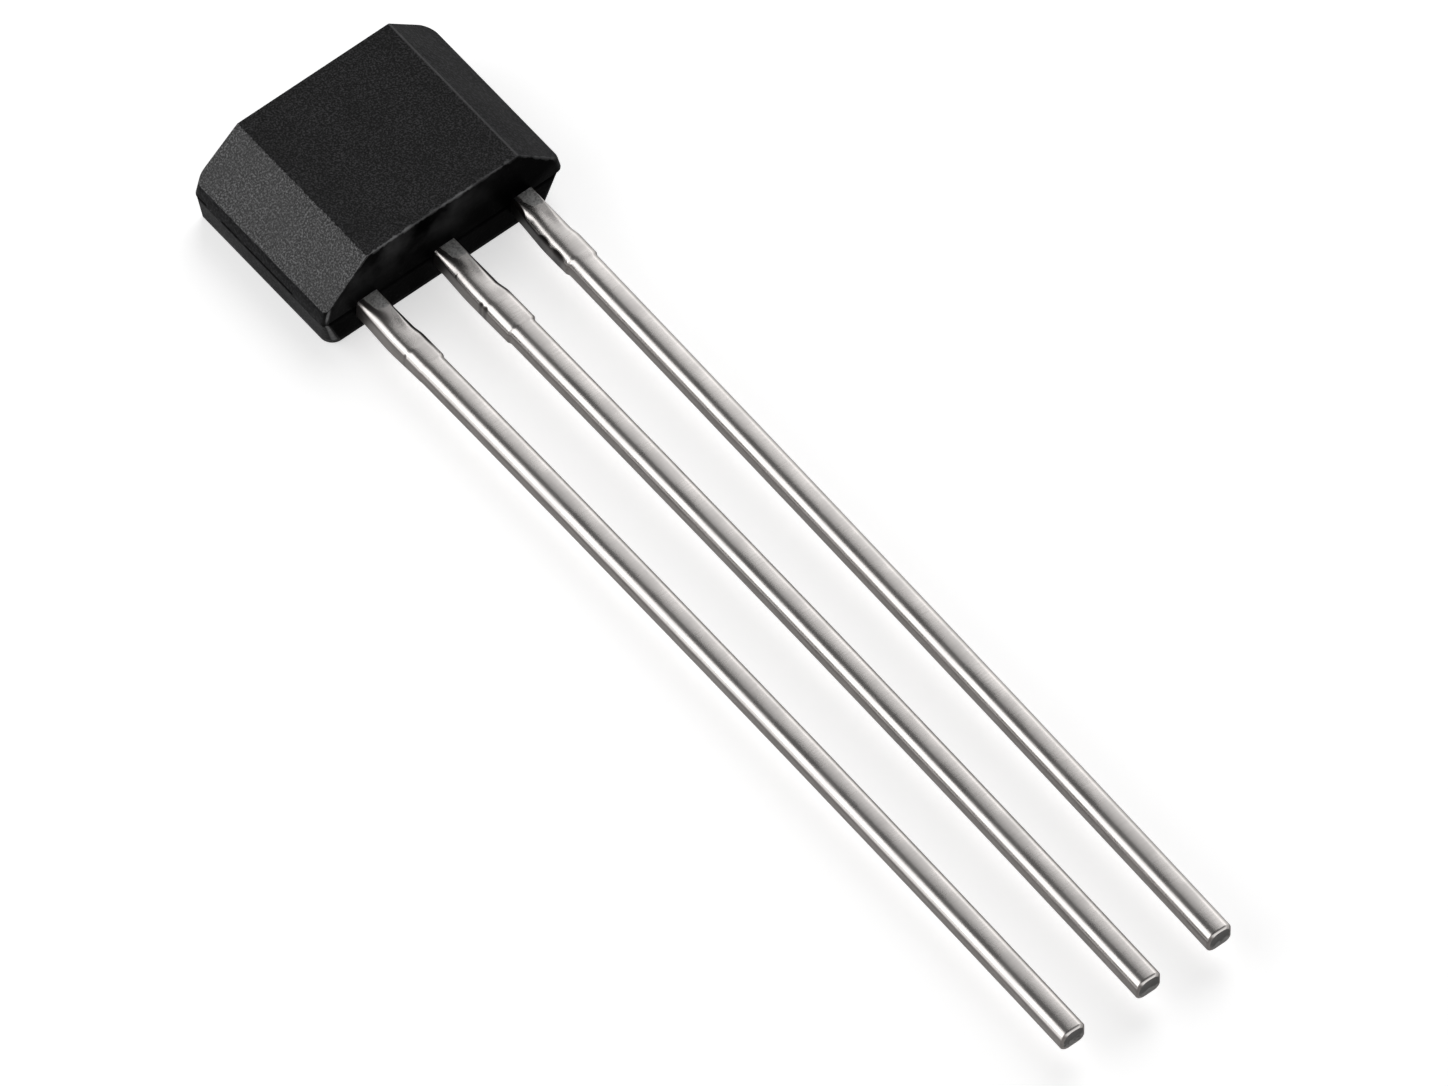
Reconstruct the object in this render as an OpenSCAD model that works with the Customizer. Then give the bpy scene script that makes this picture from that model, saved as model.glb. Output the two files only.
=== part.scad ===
// Three-lead Hall effect sensor in a flat moulded package.
// It lies on its back face. X runs across the leads, the leads point along -Y
// and +Z rises to the bevelled sensing face. All sizes are in millimetres.

/* [Package] */
// Width across the parting line
body_w = 3.96; // [3.8:0.01:4.4]
// Length along the leads at the parting line
body_l = 2.72; // [2.6:0.01:3.2]
// Thickness from the back face to the sensing face
body_t = 1.53; // [1.49:0.01:1.8]
// Height of the parting plane above the back face
parting_h = 0.62; // [0.56:0.01:0.66]
// Leg of the 45 degree bevel on each side of the sensing face
bevel = 0.69; // [0.55:0.01:0.76]
// Mould draft of the two sides, in degrees
side_draft = 11.4; // [3:0.1:15]
// Mould draft of the lead end and the far end, in degrees
end_draft = 1.7; // [1:0.1:6]
// Radius of the upright corners at the far end
far_r = 0.17; // [0.1:0.01:0.25]
// Radius of the upright corners at the lead end
near_r = 0.08; // [0.05:0.01:0.16]
// Radius of the corners of the back face
foot_r = 0.19; // [0.12:0.01:0.3]
// Small break along the back face's edge
foot_break = 0.02; // [0.01:0.005:0.04]
// How far the back half of the mould stands in from the front half
parting_step = 0.012; // [0.006:0.001:0.025]

/* [Mould marks] */
// Diameter of the ejector pin's mark in the back face
pin_mark_d = 1.0; // [0.6:0.05:1.4]
// Depth of the ejector pin's mark
pin_mark_depth = 0.04; // [0.02:0.005:0.06]
// Width of the broken gate on the far end
gate_w = 0.62; // [0.4:0.02:0.9]
// Height of the broken gate, down from the parting plane
gate_h = 0.14; // [0.08:0.01:0.2]
// How far the broken gate stands out
gate_stub = 0.03; // [0.01:0.005:0.06]

/* [Leads] */
// Distance between neighbouring leads
lead_pitch = 1.27; // [1.2:0.01:1.34]
// Width of the bare stamped lead
lead_w = 0.33; // [0.3:0.01:0.4]
// Thickness of the lead frame
lead_t = 0.33; // [0.3:0.01:0.4]
// Height of the lead frame's top above the parting plane
lead_rise = 0.07; // [0.02:0.01:0.12]
// Length of each lead outside the package
lead_l = 14.46; // [12:0.02:18]
// Sideways drift of the supply lead at its tip
supply_lean = -0.08; // [-0.3:0.002:0.3]
// Sideways drift of the ground lead at its tip
ground_lean = -0.112; // [-0.3:0.002:0.3]
// Sideways drift of the output lead at its tip
output_lean = -0.222; // [-0.3:0.002:0.3]
// Sideways bow of the supply lead at half its length
supply_bow = 0.048; // [-0.08:0.002:0.08]
// Sideways bow of the ground lead at half its length
ground_bow = 0.05; // [-0.08:0.002:0.08]
// Sideways bow of the output lead at half its length
output_bow = 0.026; // [-0.08:0.002:0.08]

/* [Tin dip] */
// Bare length between the package and the dipped tin
bare_l = 0.06; // [0.04:0.01:0.2]
// Tin on each side of a lead
tin_side = 0.031; // [0.012:0.001:0.05]
// Tin on the top and on the bottom of a lead
tin_face = 0.015; // [0.008:0.001:0.03]
// Radius of a dipped lead's right corners
tin_r = 0.09; // [0.05:0.005:0.13]
// Radius of the left corners, where the tin ran off thickest
run_r = 0.14; // [0.06:0.005:0.15]
// Length over which the tin swells to its full section
tin_blend = 0.75; // [0.3:0.01:0.9]
// Break around the cut tip
tip_break = 0.022; // [0.01:0.002:0.04]

/* [Dambar stubs] */
// Distance from the package to where a trimmed dambar stub starts
stub_start = 0.74; // [0.55:0.01:0.9]
// Length of a trimmed stub along the lead
stub_l = 0.56; // [0.4:0.01:0.8]
// Length of the slope at a stub's package end
stub_slope = 0.2; // [0.1:0.01:0.25]
// How much farther out the ground lead's stubs lie
ground_shift = 0.2; // [0.05:0.01:0.3]
// How far the supply lead's left stub stands out beyond the tin
supply_left = 0.005; // [0.002:0.001:0.04]
// How far the supply lead's right stub stands out
supply_right = 0.024; // [0.002:0.001:0.04]
// How far the ground lead's left stub stands out
ground_left = 0.032; // [0.002:0.001:0.04]
// How far the ground lead's right stub stands out
ground_right = 0.033; // [0.002:0.001:0.04]
// How far the output lead's left stub stands out
output_left = 0.02; // [0.002:0.001:0.04]
// How far the output lead's right stub stands out
output_right = 0.024; // [0.002:0.001:0.04]
// Depth of the two bites that the trimming punch left in the output lead
bite_depth = 0.03; // [0.01:0.001:0.04]
// Length of a bite along the lead
bite_l = 0.26; // [0.14:0.01:0.3]

/* [Lead frame inside] */
// Reach of a bond post beyond each side of its lead
post_reach = 0.12; // [0.06:0.01:0.16]
// Length of a bond post along the lead
post_l = 0.62; // [0.5:0.01:0.8]
// Distance from the lead end of the package to the bond posts
post_inset = 0.58; // [0.45:0.01:0.7]
// Gap between the bond posts and the die paddle
frame_gap = 0.16; // [0.12:0.01:0.2]
// Distance from the lead end of the package to the paddle
paddle_inset = 1.0; // [0.9:0.01:1.1]
// Length of the die paddle
paddle_l = 1.3; // [1.15:0.01:1.35]
// Depth of the notches that lock the leads in the moulding
lock_depth = 0.07; // [0.04:0.005:0.1]
// Length of the lock notches
lock_l = 0.16; // [0.1:0.01:0.22]

/* [Sensor die] */
// Width of the die
die_w = 1.12; // [0.9:0.01:1.2]
// Length of the die
die_l = 0.98; // [0.8:0.01:1.05]
// Thickness of the die
die_t = 0.28; // [0.2:0.01:0.32]
// Thickness of the die attach
attach_t = 0.025; // [0.015:0.001:0.04]
// Rim of die attach that shows around the die
attach_rim = 0.03; // [0.02:0.005:0.05]
// Distance from the die's edge to the centre of a bond pad
pad_inset = 0.1; // [0.08:0.01:0.16]
// Sideways distance from the die's middle to an outer bond pad
pad_spread = 0.36; // [0.2:0.01:0.4]

/* [Bond wires] */
// Diameter of a bond wire
wire_d = 0.032; // [0.025:0.001:0.04]
// Diameter of the ball bond on the die
ball_d = 0.084; // [0.07:0.002:0.1]
// Height of the ball bond
ball_h = 0.022; // [0.015:0.001:0.03]
// Height that a wire climbs straight up from its ball
wire_climb = 0.2; // [0.12:0.01:0.24]
// Length of the stitch that lies flat on the lead frame
stitch_l = 0.07; // [0.04:0.005:0.1]
// Distance from the die attach to where the ground wire meets the paddle
ground_reach = 0.3; // [0.2:0.01:0.32]

/* [Hidden] */

over = 0.05;                                  // overlap of joined solids and run-out of cuts
corner_steps = 8;                             // facets in a package corner
lead_steps = 5;                               // facets in a lead corner
lip = 0.006;                                  // tin's thickness at its edge on the bare lead
lip_r = 0.012;                                // corner radius where the tin begins
flat_min = 0.01;                              // least flat kept beside a lead's corner
stub_square = 0.35;                           // share of the corner radius that a stub takes away
stub_end = 0.03;                              // length of the step where a stub ends
fine_step = 0.06;                             // between stations over the stubs
settle_l = 0.3;                               // fine stations beyond the stubs
far_steps = 9;                                // stations along the rest of a lead
wire_sides = 8;
wire_steps = 12;                              // pieces in a wire's arch
wire_fall = 0.35;                             // share of the span over which a wire comes down
wire_land = 0.5;                              // share of the arch's height at the same place

half_w = body_w / 2;
half_l = body_l / 2;
bevel_z = body_t - bevel;                     // foot of the bevels
bevel_w = half_w - (bevel_z - parting_h) * tan(side_draft);
face_w = bevel_w - bevel;                     // half the sensing face

lead_top = parting_h + lead_rise;
lead_bottom = lead_top - lead_t;
exit_y = -half_l;                             // the lead end of the package
tip_y = exit_y - lead_l;

post_y = exit_y + post_inset;
paddle_y = exit_y + paddle_inset;
paddle_w = 2 * (lead_pitch - lead_w / 2 - post_reach - frame_gap);
die_y = paddle_y + paddle_l / 2;              // the sensing point's place along Y
attach_top = lead_top + attach_t;
die_top = attach_top + die_t;
pad_y = die_y - die_l / 2 + pad_inset;
wire_flat = wire_d / 2 * cos(180 / wire_sides);  // from a wire's middle to its flat

// One row a lead: side, lean, bow, left stub, right stub, stubs' shift, depth of bites
supply = [-1, supply_lean, supply_bow, supply_left, supply_right, 0, 0];
ground = [0, ground_lean, ground_bow, ground_left, ground_right, ground_shift, 0];
output = [1, output_lean, output_bow, output_left, output_right, 0, bite_depth];

function clamp01(x) = min(1, max(0, x));
function ease(a, b, x) = let (u = clamp01((x - a) / (b - a))) u * u * (3 - 2 * u);
function unit(v) = v / norm(v);

// Rounded rectangle from x0 to x1 and y0 to y1, with a radius for each corner, as points
// that run anticlockwise from the right side
function round_rect(x0, x1, y0, y1, r, steps) =
    let (cx = [x1 - r[0], x0 + r[1], x0 + r[2], x1 - r[3]],
         cy = [y1 - r[0], y1 - r[1], y0 + r[2], y0 + r[3]])
    [for (k = [0:3], i = [0:steps])
        let (a = 90 * (k + i / steps)) [cx[k] + r[k] * cos(a), cy[k] + r[k] * sin(a)]];

function flat_ring(w, l, far, near, z) =
    [for (p = round_rect(-w, w, -l, l, [far, far, near, near], corner_steps)) [p[0], p[1], z]];

// Closed skin over rings that each have as many points
module skin(rings) {
    n = len(rings[0]);
    m = len(rings);
    points = [for (ring = rings, p = ring) p];
    sides = [for (j = [0:m - 2], i = [0:n - 1])
        let (a = j * n + i, b = j * n + (i + 1) % n) each [[a, a + n, b], [b, a + n, b + n]]];
    caps = [[for (i = [0:n - 1]) i], [for (i = [n - 1:-1:0]) (m - 1) * n + i]];
    polyhedron(points, concat(sides, caps));
}

// Front half of the moulding: drafted block with both bevels
module front_half() {
    top_l = half_l - (body_t - parting_h) * tan(end_draft);
    top_w = half_w - (body_t - parting_h) * tan(side_draft);
    slope = face_w + body_t;
    intersection() {
        skin([flat_ring(half_w, half_l, far_r, near_r, parting_h),
            flat_ring(top_w, top_l, far_r, near_r, body_t)]);
        rotate([90, 0, 0]) linear_extrude(body_l + 2 * over, center = true)
            polygon([[-slope, 0], [slope, 0], [slope - body_t - over, body_t + over],
                [body_t + over - slope, body_t + over]]);
    }
}

// Back half: it tapers to the back face and its corners open out towards it
module back_half() {
    w = half_w - parting_step;
    l = half_l - parting_step;
    foot_w = w - parting_h * tan(side_draft);
    foot_l = l - parting_h * tan(end_draft);
    far = far_r - parting_step;
    near = near_r - parting_step;
    skin([flat_ring(foot_w - foot_break, foot_l - foot_break, foot_r - foot_break, foot_r - foot_break, 0),
        flat_ring(foot_w + foot_break * tan(side_draft), foot_l, foot_r, foot_r, foot_break),
        flat_ring(w, l, far, near, parting_h), flat_ring(w, l, far, near, parting_h + over)]);
}

module gate_remnant() {
    translate([-gate_w / 2, half_l - 2 * over, parting_h - gate_h])
        cube([gate_w, 2 * over + gate_stub, gate_h]);
}

// Flat blank of an outer lead: the bar with its lock notches and the bond post
module outer_blank(side) {
    w = lead_w / 2;
    p = w + post_reach;
    notch_y = exit_y + (post_inset - lock_l) / 2;
    translate([side * lead_pitch, 0]) difference() {
        union() {
            translate([-w, exit_y - bare_l - lip]) square([lead_w, bare_l + lip + post_inset + over]);
            translate([-p, post_y]) square([2 * p, post_l]);
        }
        for (s = [-1, 1])
            translate([s * w - lock_depth, notch_y]) square([2 * lock_depth, lock_l]);
    }
}

// Flat blank of the middle lead: the bar runs into the die paddle
module middle_blank() {
    w = lead_w / 2;
    notch_y = exit_y + (post_inset - lock_l) / 2;
    difference() {
        union() {
            translate([-w, exit_y - bare_l - lip]) square([lead_w, bare_l + lip + paddle_inset + over]);
            translate([-paddle_w / 2, paddle_y]) square([paddle_w, paddle_l]);
        }
        for (s = [-1, 1])
            translate([s * w - lock_depth, notch_y]) square([2 * lock_depth, lock_l]);
        for (s = [-1, 1])
            translate([s * paddle_w / 2 - lock_depth, paddle_y + paddle_l / 2 - lock_l])
                square([2 * lock_depth, 2 * lock_l]);
    }
}

module stamped(side) {
    translate([0, 0, lead_bottom]) linear_extrude(lead_t)
        if (side == 0) middle_blank(); else outer_blank(side);
}

// Share of a trimmed stub's height at distance s from the package
function stub(s, shift) =
    ease(stub_start + shift, stub_start + shift + stub_slope, s)
    * (1 - ease(stub_start + shift + stub_l, stub_start + shift + stub_l + stub_end, s));

// Share of a bite's depth: one bite where the stub starts, one at its middle
function bite(s) = max([for (at = [stub_start, stub_start + stub_l / 2]) 1 - abs(s - at) / (bite_l / 2)]);

// Section of a dipped lead at distance s from the package
function lead_ring(lead, s) =
    let (grow = ease(bare_l, bare_l + tin_blend, s),
         cut = lead_l - s < tip_break / 2 ? tip_break : 0,
         w = lead_w / 2 + lip + (tin_side - lip) * grow - cut,
         h = lead_t / 2 + lip + (tin_face - lip) * grow - cut,
         k = stub(s, lead[5]),
         most = h - flat_min,
         r = min(lip_r + (tin_r - lip_r) * grow, most) * (1 - stub_square * k),
         run = min(lip_r + (run_r - lip_r) * grow + lead[6] * max(0, bite(s)), most),
         u = clamp01((s - bare_l) / (lead_l - bare_l)),
         x = lead[0] * lead_pitch + lead[1] * u + lead[2] * 4 * u * (1 - u),
         z = lead_top - lead_t / 2)
    [for (p = round_rect(-w - lead[3] * k, w + lead[4] * k, -h, h, [r, run, run, r], lead_steps))
        [x + p[0], exit_y - s, z + p[1]]];

// Stations close together over the dip's edge and the stubs, and wide apart beyond
function stations() =
    let (dense = stub_start + ground_shift + stub_l + settle_l, rest = lead_l - tip_break - dense)
    concat([for (s = [bare_l:fine_step:dense - fine_step / 2]) s],
        [for (i = [0:far_steps]) dense + rest * i / far_steps], [lead_l]);

module lead_solid(lead) {
    stamped(lead[0]);
    skin([for (s = stations()) lead_ring(lead, s)]);
}

// Bond wire from a ball on the die at p to a stitch on the lead frame at q
module bond_wire(p, q) {
    flat = unit([q[0] - p[0], q[1] - p[1], 0]);
    side = [-flat[1], flat[0], 0];
    start = [p[0], p[1], die_top + ball_h / 2];
    land = [q[0], q[1], lead_top + wire_flat];
    rise = start + [0, 0, wire_climb + ball_h / 2];
    fall = land + [0, 0, wire_land * (die_top - lead_top + wire_climb)] - wire_fall * norm(q - p) * flat;
    arc = [for (i = [0:wire_steps]) let (t = i / wire_steps, v = 1 - t)
        pow(v, 3) * start + 3 * t * v * v * rise + 3 * t * t * v * fall + pow(t, 3) * land];
    path = concat(arc, [land + stitch_l * flat]);
    n = len(path);
    skin([for (i = [0:n - 1])
        let (along = i == 0 ? [0, 0, 1] : i == n - 1 ? flat : unit(path[i + 1] - path[i - 1]),
             up = cross(along, side))
        [for (k = [1:wire_sides]) let (a = (k - 0.5) * 360 / wire_sides)
            path[i] + wire_d / 2 * (cos(a) * side + sin(a) * up)]]);
    translate([p[0], p[1], die_top]) cylinder(d = ball_d, h = ball_h, $fn = wire_sides);
}

module wires() {
    wire_supply();
    wire_ground();
    wire_output();
}

module package_body() {
    color("#1b1b1d") difference() {
        union() {
            front_half();
            back_half();
            gate_remnant();
        }
        translate([0, 0, -over]) cylinder(d = pin_mark_d, h = over + pin_mark_depth, $fn = 64);
        for (side = [-1:1]) stamped(side);
        die_attach();
        hall_die();
        wires();
    }
}

module lead_supply() { color("#bdb9b2") lead_solid(supply); }

module lead_ground() { color("#bdb9b2") lead_solid(ground); }

module lead_output() { color("#bdb9b2") lead_solid(output); }

module die_attach() {
    color("#d8d4c8") translate([-die_w / 2 - attach_rim, die_y - die_l / 2 - attach_rim, lead_top])
        cube([die_w + 2 * attach_rim, die_l + 2 * attach_rim, attach_t]);
}

module hall_die() {
    color("#56606e") translate([-die_w / 2, die_y - die_l / 2, attach_top]) cube([die_w, die_l, die_t]);
}

module wire_supply() {
    color("#e0b04a") bond_wire([-pad_spread, pad_y], [-lead_pitch, post_y + post_l / 2]);
}

module wire_ground() {
    color("#e0b04a") bond_wire([0, pad_y], [0, pad_y - pad_inset - attach_rim - ground_reach]);
}

module wire_output() {
    color("#e0b04a") bond_wire([pad_spread, pad_y], [lead_pitch, post_y + post_l / 2]);
}

package_body();
lead_supply();
lead_ground();
lead_output();
hall_die();
die_attach();
wire_supply();
wire_ground();
wire_output();
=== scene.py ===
import math
import bmesh
import bpy
from mathutils import Matrix, Vector, noise


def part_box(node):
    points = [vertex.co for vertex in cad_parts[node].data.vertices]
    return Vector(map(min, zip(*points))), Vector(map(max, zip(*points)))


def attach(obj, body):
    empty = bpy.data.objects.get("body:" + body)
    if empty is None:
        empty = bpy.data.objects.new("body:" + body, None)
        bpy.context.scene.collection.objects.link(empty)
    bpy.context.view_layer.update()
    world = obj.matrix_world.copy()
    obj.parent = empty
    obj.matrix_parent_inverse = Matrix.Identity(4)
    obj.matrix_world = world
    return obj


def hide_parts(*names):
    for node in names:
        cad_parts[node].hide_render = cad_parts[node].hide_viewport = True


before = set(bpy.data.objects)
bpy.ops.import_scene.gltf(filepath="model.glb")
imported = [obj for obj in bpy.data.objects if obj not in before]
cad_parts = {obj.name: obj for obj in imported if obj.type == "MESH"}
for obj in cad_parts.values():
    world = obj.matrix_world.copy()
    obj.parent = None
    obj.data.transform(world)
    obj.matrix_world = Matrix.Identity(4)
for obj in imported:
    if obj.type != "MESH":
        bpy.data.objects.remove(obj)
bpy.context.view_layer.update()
mm = 0.001
bodyLow, bodyHigh = [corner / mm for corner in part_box("package_body")]
halfBody = -bodyLow.y
print("stage: frame loaded")

# Sizes are in millimetres and angles in degrees, in the frame's own axes. A noise is given as its
# scale, detail and roughness. A reach is where it starts and ends, then what it goes from and to.


def ease(start, end, value):
    u = min(1.0, max(0.0, (value - start) / (end - start)))
    return u * u * (3 - 2 * u)


def finishMesh(name, bm, materials, smooth=True):
    bmesh.ops.recalc_face_normals(bm, faces=bm.faces)
    for vertex in bm.verts:
        vertex.co *= mm
    mesh = bpy.data.meshes.new(name)
    bm.to_mesh(mesh)
    bm.free()
    if smooth:
        mesh.shade_smooth()
    piece = bpy.data.objects.new(name, mesh)
    bpy.context.scene.collection.objects.link(piece)
    for material in materials:
        mesh.materials.append(material)
    return piece


def weightNormals(piece):
    modifier = piece.modifiers.new("evenNormals", "WEIGHTED_NORMAL")
    modifier.mode = "FACE_AREA"
    modifier.weight = 60
    modifier.keep_sharp = True


# Skin over rings with as many points each, closed at its first ring
def skinRings(bm, rings, capEnd=True):
    rows = [[bm.verts.new(point) for point in ring] for ring in rings]
    count = len(rows[0])
    for low, high in zip(rows, rows[1:]):
        for i in range(count):
            j = (i + 1) % count
            bm.faces.new((low[i], low[j], high[j], high[i]))
    bm.faces.new(rows[0][::-1])
    if capEnd:
        bm.faces.new(rows[-1])
    return rows


def addNode(tree, kind, settings=None, inputs=None):
    node = tree.nodes.new(kind)
    for key, value in (settings or {}).items():
        setattr(node, key, value)
    for key, value in (inputs or {}).items():
        socket = node.inputs[key]
        if isinstance(value, bpy.types.NodeSocket):
            tree.links.new(value, socket)
        else:
            socket.default_value = value
    return node


# Grey ramp through stops of a position and a brightness
def rampNode(tree, factor, stops):
    node = addNode(tree, "ShaderNodeValToRGB", inputs={"Fac": factor})
    ramp = node.color_ramp
    while len(ramp.elements) < len(stops):
        ramp.elements.new(0.5)
    for element, (position, value) in zip(ramp.elements, stops):
        element.position = position
        element.color = (value, value, value, 1)
    return node.outputs["Color"]


# Mix of two colours, or of two values given as colours, by a factor
def mixColor(tree, factor, first, second):
    node = addNode(tree, "ShaderNodeMix", {"data_type": "RGBA", "blend_type": "MIX"})
    for name, value in (("Factor", factor), ("A", first), ("B", second)):
        sockets = [s for s in node.inputs if s.name == name and s.enabled]
        if isinstance(value, bpy.types.NodeSocket):
            tree.links.new(value, sockets[0])
        else:
            sockets[0].default_value = value if isinstance(value, (int, float)) else (*value, 1)
    return [s for s in node.outputs if s.enabled][0]


def mathNode(tree, operation, first, second=0.0, clamp=False):
    node = addNode(tree, "ShaderNodeMath", {"operation": operation, "use_clamp": clamp})
    for socket, value in zip(node.inputs, (first, second)):
        if isinstance(value, bpy.types.NodeSocket):
            tree.links.new(value, socket)
        else:
            socket.default_value = value
    return node.outputs[0]


# Smooth step from start to end while the value goes from low to high
def rangeNode(tree, value, low, high, start=0.0, end=1.0):
    inputs = {"Value": value, "From Min": low, "From Max": high, "To Min": start, "To Max": end}
    settings = {"interpolation_type": "SMOOTHSTEP"}
    return addNode(tree, "ShaderNodeMapRange", settings, inputs).outputs["Result"]


# Place on the object in millimetres, stretched by a scale for each axis
def millimetres(tree, scale=(1, 1, 1)):
    place = addNode(tree, "ShaderNodeTexCoord").outputs["Object"]
    mapping = addNode(tree, "ShaderNodeMapping", inputs={"Vector": place})
    mapping.inputs["Scale"].default_value = tuple(s / mm for s in scale)
    return mapping.outputs["Vector"]


def noiseNode(tree, vector, scale, detail, roughness):
    inputs = {"Vector": vector, "Scale": scale, "Detail": detail, "Roughness": roughness}
    return addNode(tree, "ShaderNodeTexNoise", inputs=inputs).outputs["Fac"]


def newMaterial(name):
    material = bpy.data.materials.new(name)
    material.use_nodes = True
    tree = material.node_tree
    return material, tree, tree.nodes["Principled BSDF"]


def addBump(tree, height, distance):
    inputs = {"Height": height, "Strength": 1.0, "Distance": distance * mm}
    return addNode(tree, "ShaderNodeBump", inputs=inputs).outputs["Normal"]


def newGroup(name, inputs, outputs):
    group = bpy.data.node_groups.new(name, "ShaderNodeTree")
    for label, value in inputs:
        socket = group.interface.new_socket(label, in_out="INPUT", socket_type="NodeSocketFloat")
        socket.default_value = value
    for label, kind in outputs:
        group.interface.new_socket(label, in_out="OUTPUT", socket_type="NodeSocket" + kind)
    given = addNode(group, "NodeGroupInput").outputs
    return group, given, addNode(group, "NodeGroupOutput").inputs


def placeGroup(tree, group, **values):
    node = addNode(tree, "ShaderNodeGroup", {"node_tree": group})
    for label, value in values.items():
        node.inputs[label].default_value = value
    return node.outputs


packageForm = {
    "partingHeight": 0.62,
    "bevelLeg": 0.69,
    "sideDraft": 11.4,
    "endDraft": 1.7,
    "farRightRadius": 0.17,
    "farLeftRadius": 0.13,
    "nearLeftRadius": 0.08,
    "nearRightRadius": 0.12,
    "backFarRadius": 0.1,
    "backLeftRadius": 0.07,
    "backRightRadius": 0.14,
    "footFarRadius": 0.05,
    "footLeftRadius": 0.19,
    "footRightRadius": 0.31,
    "footBreak": 0.02,
    "partingStep": 0.012,
    "grooveDepth": 0.012,
    "grooveHeight": 0.014,
    "lipBelow": 0.002,
    "lipIn": 0.004,
    "lipAbove": 0.003,
    "edgeRounding": 0.016,
    "cornerSteps": 14,
    "wallSteps": 6,
    "roundingSteps": 3,
}
parting = packageForm["partingHeight"]
sideSlope = math.tan(math.radians(packageForm["sideDraft"]))
endSlope = math.tan(math.radians(packageForm["endDraft"]))
topZ = bodyHigh.z
bevelFoot = topZ - packageForm["bevelLeg"]
faceHalf = bodyHigh.x - (bevelFoot - parting) * sideSlope - packageForm["bevelLeg"]


grainLook = {
    "detail": 2.0,
    "broken": 0.6,
    "fleckReach": (0.42, 0.72),
    "cloudScale": 1.3,
    "cloudDetail": 3.0,
}


# Sanded grain of the mould, with a fleck for each raised grain and a slow cloud across the piece
def makeGrain():
    look = grainLook
    group, given, out = newGroup("mouldGrain", (("Scale", 26.0), ("Depth", 0.01)),
                                 (("Fleck", "Float"), ("Cloud", "Float"), ("Normal", "Vector")))
    place = millimetres(group)
    grain = noiseNode(group, place, given["Scale"], look["detail"], look["broken"])
    cloud = noiseNode(group, place, look["cloudScale"], look["cloudDetail"], look["broken"])
    depth = mathNode(group, "MULTIPLY", given["Depth"], mm)
    inputs = {"Height": grain, "Strength": 1.0, "Distance": depth}
    bump = addNode(group, "ShaderNodeBump", inputs=inputs)
    group.links.new(rangeNode(group, grain, *look["fleckReach"]), out["Fleck"])
    group.links.new(cloud, out["Cloud"])
    group.links.new(bump.outputs["Normal"], out["Normal"])
    return group


# The pale edge is part rubbed wear and part painted highlight. It is uneven along the edge and
# patchy in strength, and fades toward the output side.
edgeWearAndHighlightLook = {
    "uneven": (7.0, 3.0, 0.7),
    "unevenReach": (0.3, 0.7, 0.25, 1.5),
    "patches": (2.2, 2.0, 0.6),
    "patchReach": (0.35, 0.6, 0.25, 1.0),
    "fade": (0.9, 1.4, 1.0, 0.4),
    "ridgeWidth": 0.025,
    "ridgeWearAndHighlight": 0.3,
}


# Rubbed edge with a painted highlight, between the lead end and the sensing face and its bevels,
# and the right bevel's ridge
def makeEdgeWearAndHighlight():
    look = edgeWearAndHighlightLook
    group, given, out = newGroup("edgeWearAndHighlight", (("Reach", 0.03), ("Amount", 1.0)),
                                 (("WearAndHighlight", "Float"),))
    place = millimetres(group)
    axes = addNode(group, "ShaderNodeSeparateXYZ", inputs={"Vector": place}).outputs
    beyond = mathNode(group, "SUBTRACT", mathNode(group, "ABSOLUTE", axes["X"]), faceHalf)
    beyond = mathNode(group, "MAXIMUM", beyond, 0.0)
    below = mathNode(group, "SUBTRACT", topZ, axes["Z"])
    across = mathNode(group, "ABSOLUTE", mathNode(group, "SUBTRACT", below, beyond))
    lip = halfBody - (topZ - parting) * endSlope
    inward = mathNode(group, "ADD", mathNode(group, "ADD", axes["Y"], lip),
                      mathNode(group, "MULTIPLY", below, endSlope))
    away = mathNode(group, "MAXIMUM", across, mathNode(group, "ABSOLUTE", inward))
    uneven = rangeNode(group, noiseNode(group, place, *look["uneven"]), *look["unevenReach"])
    reach = mathNode(group, "MULTIPLY", given["Reach"], uneven)
    near = mathNode(group, "SUBTRACT", 1.0, mathNode(group, "DIVIDE", away, reach), clamp=True)
    patchy = rangeNode(group, noiseNode(group, place, *look["patches"]), *look["patchReach"])
    strength = mathNode(group, "MULTIPLY", patchy, given["Amount"])
    strength = mathNode(group, "MULTIPLY", strength, rangeNode(group, axes["X"], *look["fade"]))
    rim = mathNode(group, "MULTIPLY", near, strength, clamp=True)
    off = mathNode(group, "ABSOLUTE", mathNode(group, "SUBTRACT", axes["X"], faceHalf))
    off = mathNode(group, "MAXIMUM", off, mathNode(group, "ABSOLUTE", below))
    off = mathNode(group, "DIVIDE", off, look["ridgeWidth"])
    ridge = mathNode(group, "SUBTRACT", 1.0, off, clamp=True)
    ridge = mathNode(group, "MULTIPLY", ridge, look["ridgeWearAndHighlight"])
    group.links.new(mathNode(group, "MAXIMUM", rim, ridge), out["WearAndHighlight"])
    return group


seamLineLook = {
    "stretch": (1, 1, 0.1),
    "dashes": (2.4, 2.0, 0.7),
    "dashReach": (0.45, 0.5),
    "chips": (5.0, 2.0, 0.7),
    "chipReach": (0.58, 0.64),
    "reach": 0.03,
    "darkLineColor": (0.001, 0.001, 0.001),
    "chipColor": (0.11, 0.11, 0.112),
}
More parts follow.
